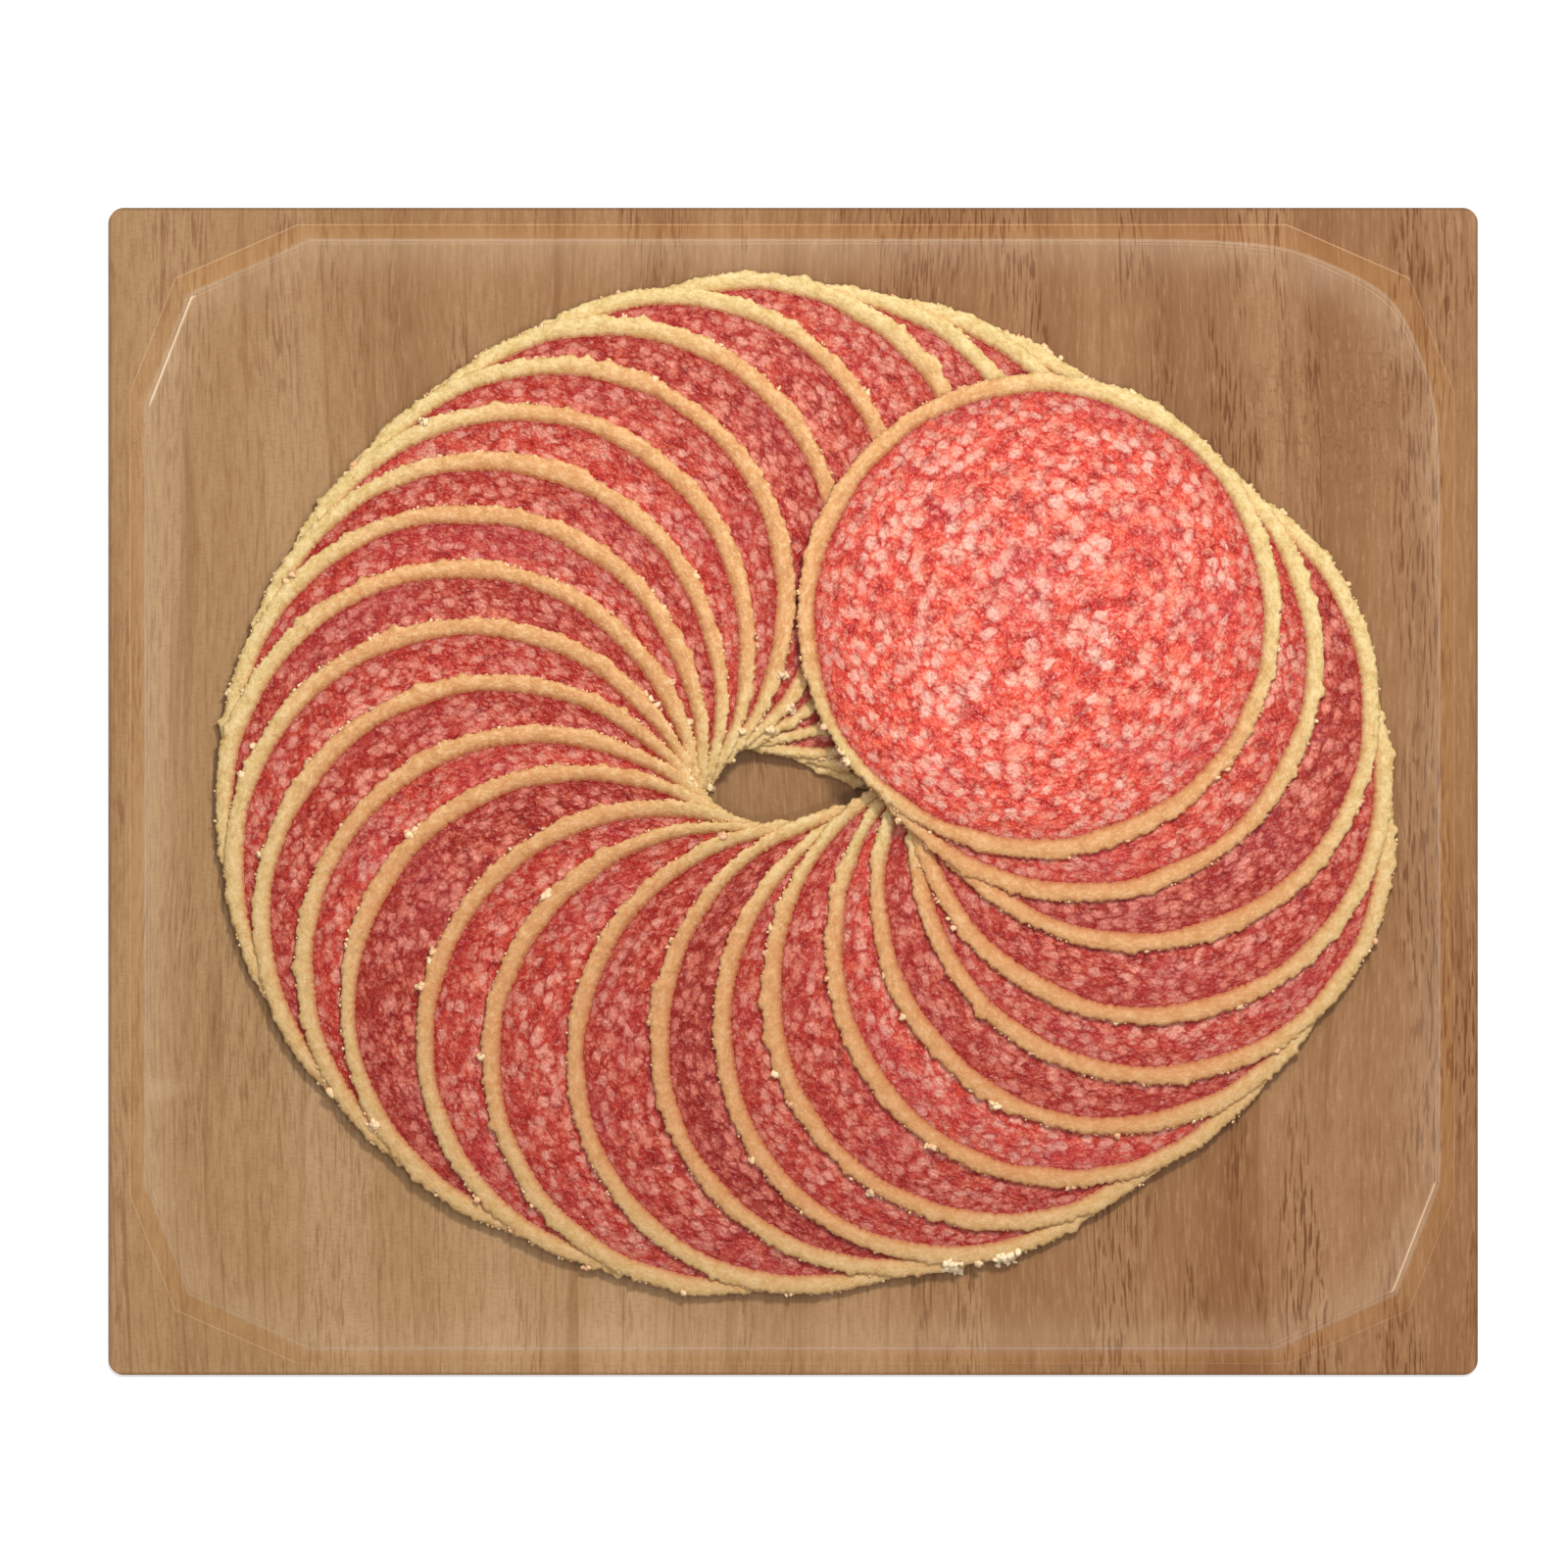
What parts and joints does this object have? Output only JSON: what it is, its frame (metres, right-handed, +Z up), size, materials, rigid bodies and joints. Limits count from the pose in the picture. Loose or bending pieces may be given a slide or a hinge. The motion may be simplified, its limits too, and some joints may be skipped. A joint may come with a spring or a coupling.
{
  "type": "pack of sliced cured sausage",
  "caption": "Sealed flat retail pack: round crust-edged cured sausage slices laid overlapping in an oval ring on a wood-pattern sheet under a shallow clear dome with cut corners",
  "frame": {"origin": "centre of the backing sheet's underside, on the surface that the pack lies on", "axes": "+X along the pack's long side, +Y across it, +Z up through the clear dome"},
  "size_m": [0.2, 0.1704, 0.013],
  "materials": {
    "backing": "stiff plastic sheet printed with a plain light brown wood grain",
    "film": "clear thermoformed plastic film, glossy, slightly hazy at the shoulder",
    "sausage": "moist fine-grained red sausage meat with pale fat flecks and a grated-cheese crust round the edge"
  },
  "bodies": {
    "root": {"backing": "backing", "dome": "film", "slice_01": "sausage", "slice_02": "sausage", "slice_03": "sausage", "slice_04": "sausage", "slice_05": "sausage", "slice_06": "sausage", "slice_07": "sausage", "slice_08": "sausage", "slice_09": "sausage", "slice_10": "sausage", "slice_11": "sausage", "slice_12": "sausage", "slice_13": "sausage", "slice_14": "sausage", "slice_15": "sausage", "slice_16": "sausage", "slice_17": "sausage", "slice_18": "sausage", "slice_19": "sausage", "slice_20": "sausage", "slice_21": "sausage", "slice_22": "sausage", "slice_23": "sausage", "slice_24": "sausage", "slice_25": "sausage", "slice_26": "sausage", "slice_27": "sausage", "slice_28": "sausage"}
  },
  "joints": []
}
